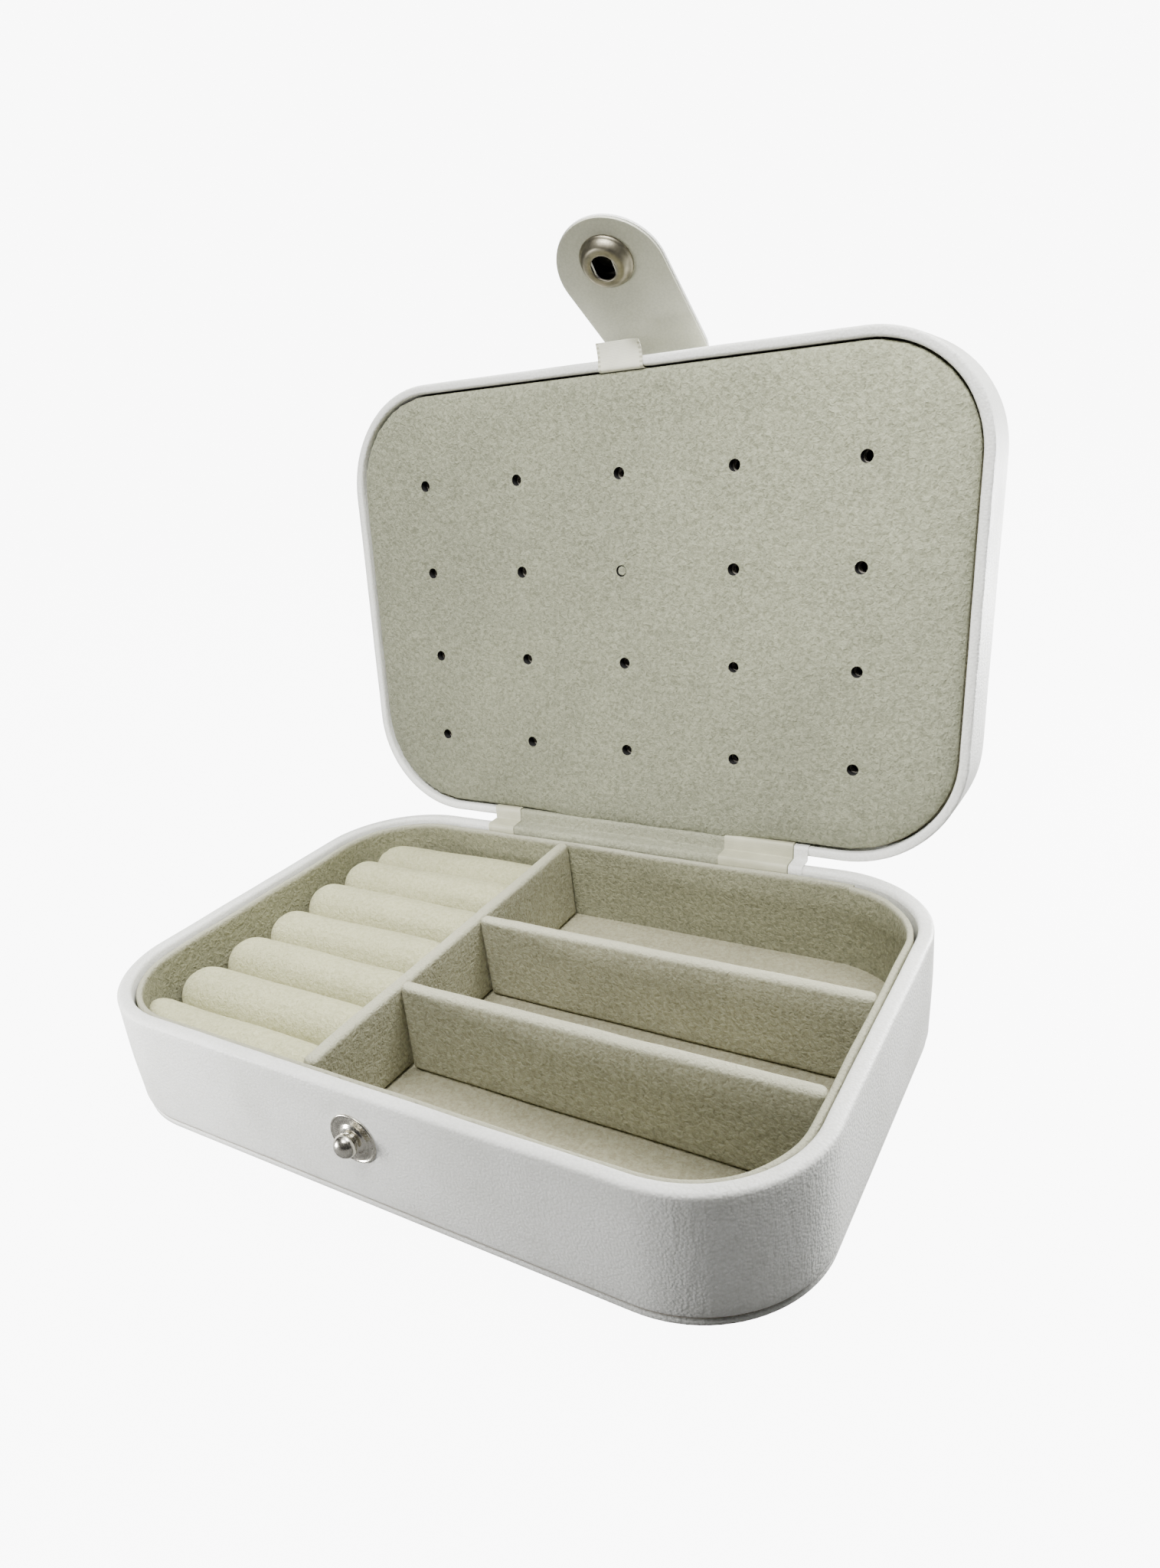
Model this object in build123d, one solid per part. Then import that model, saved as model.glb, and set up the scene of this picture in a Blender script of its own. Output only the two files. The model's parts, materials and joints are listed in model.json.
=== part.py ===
from build123d import *
import math
import os

# Jewelry box with an open lid, in millimetres. X runs along the front, Y goes to the back, Z is up.
# The origin is the centre of the underside. Lid, panel and strap are drawn on the closed box and
# are then swung open to the pose in which the box stands.

# Outer shell
box_width = 165.0
box_depth = 115.0
corner_radius = 26.4
base_height = 28.0
lid_height = 19.0
rim_gap = 1.2
leather = 0.5
rim_round = 1.0
seam_round = 0.4

# Base shell
base_board = 2.2
base_turn_in = 5.0
plate_thickness = 1.9
plate_inset = 0.5
plate_turn_in = 12.0
plate_round = 0.7
tray_board = 2.0
glue_gap = 0.1

# Velvet lining of the base
floor_card = 1.3
liner_gap = 0.6
liner_card = 1.4
liner_below_rim = 1.4
liner_edge_round = 0.5
liner_seam_x = 50.0
liner_seam = 0.3

# Dividers
divider_card = 3.4
divider_below_rim = 1.0
divider_edge_round = 1.2
divider_gap = 0.15
long_divider_x = -16.5
front_divider_y = -22.6
rear_divider_y = 9.6

# Ring rolls
roll_count = 7
roll_below_rim = 6.0
roll_gap = 0.25
roll_end_round = 1.0
roll_foot_round = 1.5

# Lid shell
lid_wall_board = 1.2
lid_rim_round = 0.7
lid_lining_card = 1.2
lid_liner_card = 1.2
lid_liner_gap = 0.15

# Earring panel
panel_gap = 0.5
panel_hinge_gap = 0.8
panel_proud = 0.45
panel_velvet = 0.5
panel_foam = 2.2
panel_board = 1.3
panel_turn_in = 10.0
panel_edge_round = 1.4
panel_seat_gap = 0.15
hole_columns = 5
hole_rows = 4
hole_pitch_x = 28.9
hole_pitch_y = 22.5
hole_shift_y = 1.0
hole_radius = 1.2

# Pull ribbon
pull_x = 1.2
pull_width = 11.4
pull_thickness = 0.25
pull_end_gap = 0.15

# Hinge
open_angle = 95.5
hinge_back = 0.6
strip_x = 3.0
strip_width = 90.0
strip_thickness = 0.3
strip_gap = 0.05
strip_tail = 10.0
ribbon_thickness = 0.15
ribbon_gap = 0.02
left_ribbon_x = -38.4
left_ribbon_width = 8.2
right_ribbon_x = 35.6
right_ribbon_width = 17.6
ribbon_tail = 6.0

# Closing strap
strap_leather = 0.6
strap_lining = 0.6
strap_root_x = 3.8
strap_root_width = 24.2
strap_tip_radius = 13.3
strap_tip_rise = 3.2
strap_tab = 9.0
strap_fold_angle = 46.0
strap_notch_gap = 0.1

# Snap fastener
stud_below_rim = 10.8
stud_flange_radius = 5.4
stud_flange_edge = 0.5
stud_flange_bead = 0.5
stud_flange_dish = 0.3
stud_flange_crown = 0.8
stud_collar_foot = 3.2
stud_collar_radius = 2.5
stud_neck_radius = 1.6
stud_neck_out = 1.35
stud_ball_radius = 2.5
stud_ball_out = 2.35
knurl_count = 40
knurl_width = 0.16
knurl_depth = 0.1
knurl_margin = 0.15
rivet_head_radius = 4.0
rivet_head = 0.5
rivet_hole_gap = 0.1
socket_seat_gap = 0.25
socket_height = 2.6
socket_radius = 6.3
socket_top_radius = 4.9
socket_mouth_radius = 2.95
socket_chamber_radius = 4.1
socket_lip = 0.3
socket_floor = 0.3
socket_bead = 0.7
socket_round = 0.35
spring_wire = 0.44
spring_grip_gap = 0.07
spring_seat_gap = 0.05
spring_leg = 3.1
spring_tail = 2.2
cap_radius = 6.0
cap_edge = 0.5
cap_crown = 1.6
cap_post_radius = 3.2
cap_post_wall = 0.45
cap_post_gap = 0.05
cap_flare = 0.4
cap_flare_thickness = 0.25
cap_cavity_gap = 0.3

# Levels and faces that follow from the sizes above
front = -box_depth / 2
back = box_depth / 2
base_rim = 2 * leather + base_board
lid_rim = 2 * leather + lid_wall_board
tray_bottom = plate_thickness
floor_bottom = tray_bottom + tray_board
floor_top = floor_bottom + floor_card
liner_outer = base_rim + liner_gap
liner_inner = liner_outer + liner_card
liner_top = base_height - liner_below_rim
divider_top = base_height - divider_below_rim
lid_edge = base_height + rim_gap
lid_top = lid_edge + lid_height
lid_seam = lid_top - plate_thickness
lid_ceiling = lid_seam - lid_lining_card
panel_face = lid_edge - panel_proud
panel_thickness = panel_foam + panel_board + 2 * panel_velvet
panel_back = panel_face + panel_thickness
hinge_y = back + hinge_back
hinge_z = base_height + rim_gap / 2
strap_thickness = strap_leather + strap_lining
strap_face = stud_flange_crown + socket_seat_gap + socket_height
pull_overhang = strap_face - pull_end_gap
strap_pivot_y = front
strap_pivot_z = lid_seam - strap_thickness - strap_face
snap_mouth = stud_flange_crown + socket_seat_gap
stud_height = base_height - stud_below_rim
stud_ball_top = stud_ball_out + stud_ball_radius

hinge_axis = Axis((0, hinge_y, hinge_z), (1, 0, 0))
strap_axis = Axis((0, strap_pivot_y, strap_pivot_z), (1, 0, 0))
snap_plane = Plane(origin=(0, front, stud_height), x_dir=(1, 0, 0), z_dir=(0, -1, 0))


def outline(inset):
    return RectangleRounded(box_width - 2 * inset, box_depth - 2 * inset, corner_radius - inset)


def slab(inset, bottom, top):
    return Pos(0, 0, bottom) * extrude(outline(inset), top - bottom)


def ring(outer, inner, bottom, top):
    return slab(outer, bottom, top) - slab(inner, bottom, top)


def block(x_low, x_high, y_low, y_high, z_low, z_high):
    middle = Pos((x_low + x_high) / 2, (y_low + y_high) / 2, (z_low + z_high) / 2)
    return middle * Box(x_high - x_low, y_high - y_low, z_high - z_low)


def rim_edges(solid, side):
    return solid.faces().sort_by(Axis.Z)[side].edges()


def outer_edges(solid, side):
    return solid.faces().sort_by(Axis.Z)[side].outer_wire().edges()


def opened(solid):
    return solid.rotate(hinge_axis, -open_angle)


def strap_posed(solid):
    return opened(solid.rotate(strap_axis, strap_fold_angle - 90))


def save(name, solid):
    export_step(solid, os.path.join("parts", name + ".step"))


# Base shell

def rivet_hole(gap):
    radius = stud_neck_radius + gap
    return snap_plane * Pos(0, 0, -base_rim) * extrude(Circle(radius), 2 * base_rim)


def make_base_wall():
    wall = ring(leather, leather + base_board, tray_bottom, base_height - leather)
    wall = fillet(rim_edges(wall, -1), rim_round - leather)
    return wall - rivet_hole(rivet_hole_gap)


def make_base_wrap():
    wrap = ring(0, base_rim, tray_bottom, base_height)
    wrap = fillet(rim_edges(wrap, -1), rim_round)
    wrap = fillet(outer_edges(wrap, 0), seam_round)
    core = ring(leather, leather + base_board, tray_bottom, base_height - leather)
    wrap = wrap - fillet(rim_edges(core, -1), rim_round - leather)
    wrap = wrap - slab(leather + base_board, tray_bottom, base_height - base_turn_in)
    return wrap - rivet_hole(rivet_hole_gap)


def make_plate_cover():
    cover = slab(plate_inset, 0, plate_thickness)
    cover = fillet(outer_edges(cover, -1), seam_round)
    cover = fillet(outer_edges(cover, 0), plate_round)
    cover = cover - make_plate_board()
    return cover - slab(plate_turn_in, plate_thickness - leather, plate_thickness)


def make_plate_board():
    return slab(plate_inset + leather, leather, plate_thickness - leather)


def make_tray_board():
    return slab(leather + base_board + glue_gap, tray_bottom, floor_bottom)


# Velvet lining and dividers

def make_floor_card():
    return slab(base_rim + glue_gap, floor_bottom, floor_top)


def make_liner():
    liner = ring(liner_outer, liner_inner, floor_top, liner_top)
    liner = fillet(rim_edges(liner, -1), liner_edge_round)
    half = liner_seam / 2
    return liner - block(liner_seam_x - half, liner_seam_x + half, 0, back, 0, base_height)


def divider(x_low, x_high, y_low, y_high, along):
    card = block(x_low, x_high, y_low, y_high, floor_top, divider_top)
    top = card.faces().sort_by(Axis.Z)[-1].edges().filter_by(along)
    return fillet(top, divider_edge_round)


def make_long_divider():
    reach = back - liner_inner - divider_gap
    low = long_divider_x - divider_card / 2
    return divider(low, low + divider_card, -reach, reach, Axis.Y)


def make_cross_divider(y_middle):
    left = long_divider_x + divider_card / 2 + divider_gap
    right = box_width / 2 - liner_inner - divider_gap
    low = y_middle - divider_card / 2
    return divider(left, right, low, low + divider_card, Axis.X)


# Ring rolls: padded logs with a round crown, cut to the curved corners of the liner

def make_ring_roll(number):
    bay = box_depth - 2 * liner_inner
    pitch = bay / roll_count
    width = pitch - roll_gap
    middle = (number - (roll_count - 1) / 2) * pitch
    crown = base_height - roll_below_rim - width / 2
    left = -box_width / 2 + liner_inner + roll_gap
    right = long_divider_x - divider_card / 2 - roll_gap
    face = Pos(0, (floor_top + crown) / 2) * Rectangle(width, crown - floor_top)
    face = face + Pos(0, crown) * Circle(width / 2)
    foot = face.vertices().group_by(Axis.Y)[0]
    face = fillet(foot, roll_foot_round)
    end = Plane(origin=(left, middle, 0), x_dir=(0, 1, 0), z_dir=(1, 0, 0))
    roll = extrude(end * face, right - left)
    ends = roll.faces().filter_by(Axis.X).edges()
    roll = fillet(ends, roll_end_round)
    return roll & slab(liner_inner + roll_gap, floor_top, base_height)


# Lid shell

def strap_notch(gap):
    left = strap_root_x - strap_root_width / 2 - gap
    right = strap_root_x + strap_root_width / 2 + gap
    low = lid_seam - strap_thickness - gap
    return block(left, right, front - gap, front + strap_tab + gap, low, lid_seam)


def make_lid_wall():
    wall = ring(leather, leather + lid_wall_board, lid_edge + leather, lid_seam)
    return wall - strap_notch(strap_notch_gap)


def make_lid_wrap():
    wrap = ring(0, lid_rim, lid_edge, lid_seam)
    wrap = fillet(rim_edges(wrap, 0), lid_rim_round)
    wrap = fillet(outer_edges(wrap, -1), seam_round)
    wrap = wrap - ring(leather, leather + lid_wall_board, lid_edge + leather, lid_seam)
    return wrap - strap_notch(strap_notch_gap)


def make_lid_plate(solid):
    return solid.mirror(Plane.XY).translate((0, 0, lid_top))


def make_lid_lining():
    lining = slab(lid_rim + glue_gap, lid_ceiling, lid_seam)
    return lining - strap_notch(strap_notch_gap)


def make_lid_liner():
    outer = lid_rim + lid_liner_gap
    return ring(outer, outer + lid_liner_card, panel_back + panel_seat_gap, lid_ceiling)


# Earring panel

panel_width = box_width - 2 * (lid_rim + panel_gap)
panel_low_y = front + lid_rim + panel_gap
panel_high_y = back - lid_rim - panel_hinge_gap
panel_depth = panel_high_y - panel_low_y
panel_middle_y = (panel_low_y + panel_high_y) / 2
panel_radius = corner_radius - lid_rim - panel_gap


def panel_slab(inset, bottom, top):
    face = RectangleRounded(panel_width - 2 * inset, panel_depth - 2 * inset, panel_radius - inset)
    return Pos(0, panel_middle_y, bottom) * extrude(face, top - bottom)


def panel_holes():
    grid = GridLocations(hole_pitch_x, hole_pitch_y, hole_columns, hole_rows)
    face = Sketch() + [place * Circle(hole_radius) for place in grid]
    start = panel_face - panel_thickness
    return extrude(Pos(0, hole_shift_y, start) * face, 3 * panel_thickness)


def make_panel_velvet(holes):
    velvet = panel_slab(0, panel_face, panel_back)
    velvet = fillet(outer_edges(velvet, 0), panel_edge_round)
    velvet = fillet(outer_edges(velvet, -1), seam_round)
    inside = panel_slab(panel_velvet, panel_face + panel_velvet, panel_back - panel_velvet)
    inside = fillet(outer_edges(inside, 0), panel_edge_round - panel_velvet)
    velvet = velvet - inside - panel_slab(panel_turn_in, panel_back - panel_velvet, panel_back)
    return velvet - holes


def make_panel_foam(holes):
    low = panel_face + panel_velvet
    foam = panel_slab(panel_velvet, low, low + panel_foam)
    return fillet(outer_edges(foam, 0), panel_edge_round - panel_velvet) - holes


def make_panel_board(holes):
    high = panel_back - panel_velvet
    return panel_slab(panel_velvet, high - panel_board, high) - holes


def make_panel_backing(holes):
    inset = panel_turn_in + glue_gap
    return panel_slab(inset, panel_back - panel_velvet, panel_back) - holes


def make_pull_ribbon():
    half = pull_width / 2
    inner = panel_low_y - ribbon_gap
    outer = inner - pull_thickness
    high = lid_edge - strip_gap
    low = high - pull_thickness
    hem = panel_back - panel_velvet
    riser = block(pull_x - half, pull_x + half, outer, inner, low, hem)
    tongue = block(pull_x - half, pull_x + half, front - pull_overhang, inner, low, high)
    return riser + tongue


# Hinge strip and ribbons: each is tucked behind the base liner, lies over the base rim, folds on the
# hinge line and goes up over the lid rim behind the lower edge of the panel

def hinge_fold(x_middle, width, radius, thickness, base_edge, base_tail, lid_edge_y, lid_tail):
    low = x_middle - width / 2
    high = x_middle + width / 2
    base_top = hinge_z - radius
    base_low = base_top - thickness
    tail = block(low, high, base_edge - thickness, base_edge, base_top - base_tail, base_top)
    base_leg = block(low, high, base_edge - thickness, hinge_y, base_low, base_top)
    lid_low = hinge_z + radius
    lid_leg = block(low, high, lid_edge_y - thickness, hinge_y, lid_low, lid_low + thickness)
    lid_end = block(low, high, lid_edge_y - thickness, lid_edge_y, lid_low, lid_low + lid_tail)
    section = Plane.XY * Pos(x_middle, hinge_y, base_low + thickness / 2)
    face = section * Rot(90, 0, 0) * Rectangle(width, thickness)
    fold = revolve(face, hinge_axis, 180 - open_angle)
    return tail + base_leg + fold + opened(lid_leg) + opened(lid_end)


def make_hinge_strip():
    radius = rim_gap / 2 - strip_gap - strip_thickness
    base_edge = back - base_rim - strip_gap
    lid_edge_y = back - lid_rim - strip_gap
    lid_tail = panel_back - hinge_z - radius
    ends = (base_edge, strip_tail, lid_edge_y, lid_tail)
    return hinge_fold(strip_x, strip_width, radius, strip_thickness, *ends)


def make_hinge_ribbon(x_middle, width):
    step = strip_thickness + ribbon_gap
    radius = rim_gap / 2 - strip_gap - step - ribbon_thickness
    base_edge = back - base_rim - strip_gap - step
    lid_edge_y = back - lid_rim - strip_gap - step
    lid_tail = panel_back - hinge_z - radius
    return hinge_fold(x_middle, width, radius, ribbon_thickness, base_edge, ribbon_tail, lid_edge_y, lid_tail)


# Closing strap: a tab under the lid plate, a fold over the lid edge and a tongue with a round tip

def make_strap_root():
    left = strap_root_x - strap_root_width / 2
    right = strap_root_x + strap_root_width / 2
    return block(left, right, front, front + strap_tab, lid_seam - strap_thickness, lid_seam)


def make_strap_fold():
    middle = lid_seam - strap_thickness / 2
    place = Pos(strap_root_x, front, middle) * Rot(90, 0, 0)
    face = place * Rectangle(strap_root_width, strap_thickness)
    return revolve(face, strap_axis, strap_fold_angle)


def strap_outline():
    rise = strap_pivot_z - stud_height
    left = strap_root_x - strap_root_width / 2
    right = strap_root_x + strap_root_width / 2
    tip = Pos(0, strap_tip_rise) * Circle(strap_tip_radius)
    return make_hull(tip.edges() + [Edge.make_line((left, rise), (right, rise))])


def make_strap_layer(low, thickness):
    layer = extrude(strap_outline() - Circle(cap_post_radius + cap_post_gap), thickness)
    return snap_plane * Pos(0, 0, low) * layer


# Snap fastener, drawn along the stud's own axis with zero on the front wall

def turned(profile):
    return snap_plane * revolve(Plane.XZ * profile, Axis.Z)


def knurl(inner, outer, level):
    groove = Pos((inner + outer) / 2, 0, level) * Box(outer - inner, knurl_width, 2 * knurl_depth)
    return [snap_plane * spot * groove for spot in PolarLocations(0, knurl_count)]


def make_snap_stud():
    bead_inner = stud_flange_radius - stud_flange_bead
    bead_middle = (stud_flange_radius - stud_flange_bead / 2, stud_flange_edge)
    base = Line((0, 0), (stud_flange_radius, 0))
    edge = Line((stud_flange_radius, 0), (stud_flange_radius, stud_flange_dish))
    bead = ThreePointArc((stud_flange_radius, stud_flange_dish), bead_middle, (bead_inner, stud_flange_dish))
    dish = Line((bead_inner, stud_flange_dish), (stud_collar_foot, stud_flange_dish))
    collar = Line((stud_collar_foot, stud_flange_dish), (stud_collar_radius, stud_flange_crown))
    shelf = Line((stud_collar_radius, stud_flange_crown), (stud_neck_radius, stud_flange_crown))
    neck = Line((stud_neck_radius, stud_flange_crown), (stud_neck_radius, stud_neck_out))
    side = (stud_ball_radius, stud_ball_out)
    under = TangentArc(side, (stud_neck_radius, stud_neck_out), tangent=(0, -1))
    ball = CenterArc((0, stud_ball_out), stud_ball_radius, 0, 90)
    spine = Line((0, stud_ball_top), (0, 0))
    stud = turned(make_face(base + edge + bead + dish + collar + shelf + neck + under + ball + spine))
    return stud - knurl(stud_collar_foot + knurl_margin, bead_inner - knurl_margin, stud_flange_dish)


def make_stud_rivet():
    wall = leather + base_board
    shank = Pos(stud_neck_radius / 2, -wall / 2) * Rectangle(stud_neck_radius, wall)
    head = Pos(rivet_head_radius / 2, -wall - rivet_head / 2) * Rectangle(rivet_head_radius, rivet_head)
    return turned(shank + head)


def make_snap_socket():
    seat = snap_mouth + socket_height
    hole = cap_post_radius + cap_post_gap
    points = [
        (hole, seat),
        (socket_radius, seat),
        (socket_radius, seat - socket_bead),
        (socket_top_radius, snap_mouth),
        (socket_mouth_radius, snap_mouth),
        (socket_mouth_radius, snap_mouth + socket_lip),
        (socket_chamber_radius, snap_mouth + socket_lip),
        (socket_chamber_radius, seat - socket_floor),
        (hole, seat - socket_floor),
    ]
    profile = make_face(Polyline(*points, close=True))
    shoulder = profile.vertices().sort_by(Axis.X)[-3:]
    lip = profile.vertices().sort_by(Axis.Y)[:1]
    return turned(fillet(shoulder + lip, socket_round))


def make_socket_spring():
    level = snap_mouth + socket_lip + spring_seat_gap + spring_wire / 2
    reach = stud_ball_radius - stud_neck_radius
    drop = stud_ball_out - stud_neck_out
    curve = (reach ** 2 + drop ** 2) / (2 * reach)
    clear = curve + spring_grip_gap + spring_wire / 2
    side = stud_ball_radius - curve + math.sqrt(clear ** 2 - (stud_ball_out - level) ** 2)
    turn = spring_leg - spring_tail
    first = Line((-side, -spring_tail), (-side, turn))
    bow = ThreePointArc((-side, turn), (0, turn + side), (side, turn))
    last = Line((side, turn), (side, -spring_tail))
    path = first + bow + last
    start = Plane(origin=(-side, -spring_tail, 0), z_dir=(0, 1, 0))
    wire = sweep(start * Circle(spring_wire / 2), path=path)
    return snap_plane * Pos(0, 0, level) * wire


def make_snap_cap():
    seat = snap_mouth + socket_height + strap_thickness
    inner = cap_post_radius - cap_post_wall
    flare = cap_post_radius + cap_flare
    flare_top = snap_mouth + socket_height - socket_floor
    flare_low = flare_top - cap_flare_thickness
    cavity = stud_ball_top + cap_cavity_gap
    points = [
        (0, seat + cap_crown),
        (0, cavity),
        (inner, cavity),
        (inner, flare_low),
        (flare, flare_low),
        (flare, flare_top),
        (cap_post_radius, flare_top),
        (cap_post_radius, seat),
        (cap_radius, seat),
        (cap_radius, seat + cap_edge),
    ]
    dome = TangentArc(points[0], points[-1], tangent=(1, 0))
    return turned(make_face(Polyline(*points) + dome))


# Write every piece

os.makedirs("parts", exist_ok=True)

save("bottom_cover", make_plate_cover())
save("bottom_board", make_plate_board())
save("base_wall", make_base_wall())
save("base_wrap", make_base_wrap())
save("tray_board", make_tray_board())
save("floor_card", make_floor_card())
save("base_liner", make_liner())
save("long_divider", make_long_divider())
save("front_cross_divider", make_cross_divider(front_divider_y))
save("rear_cross_divider", make_cross_divider(rear_divider_y))
for number in range(roll_count):
    save("ring_roll_" + str(number + 1), make_ring_roll(number))
save("snap_stud", make_snap_stud())
save("stud_rivet", make_stud_rivet())

save("hinge_strip", make_hinge_strip())
save("hinge_ribbon_left", make_hinge_ribbon(left_ribbon_x, left_ribbon_width))
save("hinge_ribbon_right", make_hinge_ribbon(right_ribbon_x, right_ribbon_width))

save("lid_wall", opened(make_lid_wall()))
save("lid_wrap", opened(make_lid_wrap()))
save("lid_cover", opened(make_lid_plate(make_plate_cover())))
save("lid_board", opened(make_lid_plate(make_plate_board())))
save("lid_lining", opened(make_lid_lining()))
save("lid_liner", opened(make_lid_liner()))

holes = panel_holes()
save("panel_velvet", opened(make_panel_velvet(holes)))
save("panel_foam", opened(make_panel_foam(holes)))
save("panel_board", opened(make_panel_board(holes)))
save("panel_backing", opened(make_panel_backing(holes)))
save("pull_ribbon", opened(make_pull_ribbon()))

save("strap_root", opened(make_strap_root()))
save("strap_fold", opened(make_strap_fold()))
save("strap_lining", strap_posed(make_strap_layer(strap_face, strap_lining)))
save("strap_leather", strap_posed(make_strap_layer(strap_face + strap_lining, strap_leather)))
save("snap_socket", strap_posed(make_snap_socket()))
save("socket_spring", strap_posed(make_socket_spring()))
save("snap_cap", strap_posed(make_snap_cap()))
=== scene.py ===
import json
import math

import bpy
from mathutils import Matrix, Vector, noise


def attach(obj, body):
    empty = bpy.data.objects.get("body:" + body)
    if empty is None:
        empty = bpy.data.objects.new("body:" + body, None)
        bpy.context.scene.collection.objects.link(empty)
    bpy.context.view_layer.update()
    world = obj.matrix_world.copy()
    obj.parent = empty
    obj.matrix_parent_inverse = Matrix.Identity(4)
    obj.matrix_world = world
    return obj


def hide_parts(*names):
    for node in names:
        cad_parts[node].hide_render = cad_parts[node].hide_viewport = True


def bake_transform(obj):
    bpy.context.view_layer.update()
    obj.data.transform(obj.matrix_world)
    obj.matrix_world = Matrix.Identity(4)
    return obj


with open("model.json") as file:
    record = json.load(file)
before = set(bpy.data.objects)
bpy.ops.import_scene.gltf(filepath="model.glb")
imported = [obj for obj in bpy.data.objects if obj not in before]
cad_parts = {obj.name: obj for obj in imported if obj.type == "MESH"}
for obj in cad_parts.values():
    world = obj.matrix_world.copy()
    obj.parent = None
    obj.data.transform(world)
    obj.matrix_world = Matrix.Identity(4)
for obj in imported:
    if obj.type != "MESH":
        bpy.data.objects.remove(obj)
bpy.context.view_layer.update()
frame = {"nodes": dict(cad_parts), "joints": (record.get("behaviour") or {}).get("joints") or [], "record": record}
cadNodes = frame["nodes"]
joints = {joint["name"]: joint for joint in frame["joints"]}
print("frame loaded:", len(cadNodes), "nodes")

mm = 0.001

# outer sizes of the box in millimetres, as in the CAD
shell = {"width": 165.0, "depth": 115.0, "corner": 26.4, "cornerCuts": 22, "edgeStep": 2.0}
levels = {"plate": 1.9, "floor": 5.2, "snap": 17.2, "strapFold": 41.45, "lidTop": 48.2, "strapFace": 3.65}
front = -shell["depth"] / 2
hair = 1e-5  # heights closer than this are one
punchDepth = 20 * mm
straightFrom = 12 * mm  # edges of an outline from this length on are its straight sides

# hinge line, and the places of the lid and of the snap
hingePoint = Vector(joints["panel_hinge"]["pos_m"])
openAngle = math.radians(joints["panel_hinge"]["range_deg"][1])
strapTurn = math.radians(joints["strap_bend"]["range_deg"][1])
toHinge = Matrix.Translation(hingePoint)
openLid = toHinge @ Matrix.Rotation(-openAngle, 4, "X") @ toHinge.inverted()
lidPlace = openLid @ Matrix.Translation((0, 0, levels["lidTop"] * mm)) @ Matrix.Rotation(math.pi, 4, "X")
snapPlace = Matrix.Translation((0, front * mm, levels["snap"] * mm)) @ Matrix.Rotation(math.pi / 2, 4, "X")
strapPoint = Vector((0, front, levels["strapFold"])) * mm
toStrap = Matrix.Translation(strapPoint)
strapPlace = openLid @ toStrap @ Matrix.Rotation(-strapTurn, 4, "X") @ toStrap.inverted()


def pickOnly(piece):
    bpy.ops.object.select_all(action="DESELECT")
    piece.select_set(True)
    bpy.context.view_layer.objects.active = piece


def editOn(kind="FACE"):
    bpy.ops.object.mode_set(mode="EDIT")
    bpy.ops.mesh.select_mode(type=kind)


def editOff():
    bpy.ops.object.mode_set(mode="OBJECT")


def pickAll(action="SELECT"):
    bpy.ops.mesh.select_all(action=action)


def applyAll(piece):
    pickOnly(piece)
    for modifier in list(piece.modifiers):
        bpy.ops.object.modifier_apply(modifier=modifier.name)


def addPiece(kind, name, scale=None, **settings):
    bpy.ops.object.select_all(action="DESELECT")
    getattr(bpy.ops.mesh, "primitive_" + kind + "_add")(**settings)
    piece = bpy.context.object
    piece.name = name
    if scale:
        piece.scale = scale
        bpy.ops.object.transform_apply()
    return piece


def modify(piece, kind, **settings):
    modifier = piece.modifiers.new(kind.lower(), kind)
    for key, value in settings.items():
        setattr(modifier, key, value)
    applyAll(piece)


# these two work on the faces that are selected
def growRings(profile):
    for _ in profile[1:]:
        bpy.ops.mesh.extrude_region_move(TRANSFORM_OT_translate={"value": (0, 0, 0)})
    editOff()


def dropFaces():
    editOn()
    bpy.ops.mesh.delete(type="ONLY_FACE")
    editOff()


def turnOutward():
    editOn()
    pickAll()
    bpy.ops.mesh.normals_make_consistent()
    editOff()


def cutBy(piece, tool, operation="DIFFERENCE"):
    modify(piece, "BOOLEAN", operation=operation, object=tool)
    bpy.data.objects.remove(tool)


# rounds the long edges that lie at one level
def roundEdges(piece, level, along, longer, radius, cuts):
    for edge in piece.data.edges:
        a, b = (piece.data.vertices[i].co for i in edge.vertices)
        flat = abs(a.z - level) < hair and abs(b.z - level) < hair
        edge.select = flat and abs(a[along] - b[along]) > longer
    editOn("EDGE")
    bpy.ops.mesh.bevel(offset=radius * mm, segments=cuts, affect="EDGES")
    pickAll("DESELECT")
    editOff()


def placeIn(piece, place):
    piece.data.transform(place)
    piece.data.update()


def softShade(piece, degrees=60):
    pickOnly(piece)
    bpy.ops.object.shade_smooth_by_angle(angle=math.radians(degrees))


def dress(piece, body, slot, finish, *stoodFor, shade=60):
    softShade(piece, shade)
    piece.data.materials.clear()
    piece.data.materials.append(finishes[finish])
    if body:
        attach(piece, body)  # a piece that bends between two bodies has none
    if stoodFor:
        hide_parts(*stoodFor)


def clamp(value, low=0.0, high=1.0):
    return max(low, min(high, value))


# the nearest point of the rectangle that joins the middles of the four corner arcs
def coreOf(x, y, size):
    straightX, straightY = (size[key] / 2 - size["corner"] for key in ("width", "depth"))
    return Vector((clamp(x, -straightX, straightX), clamp(y, -straightY, straightY), 0))


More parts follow.
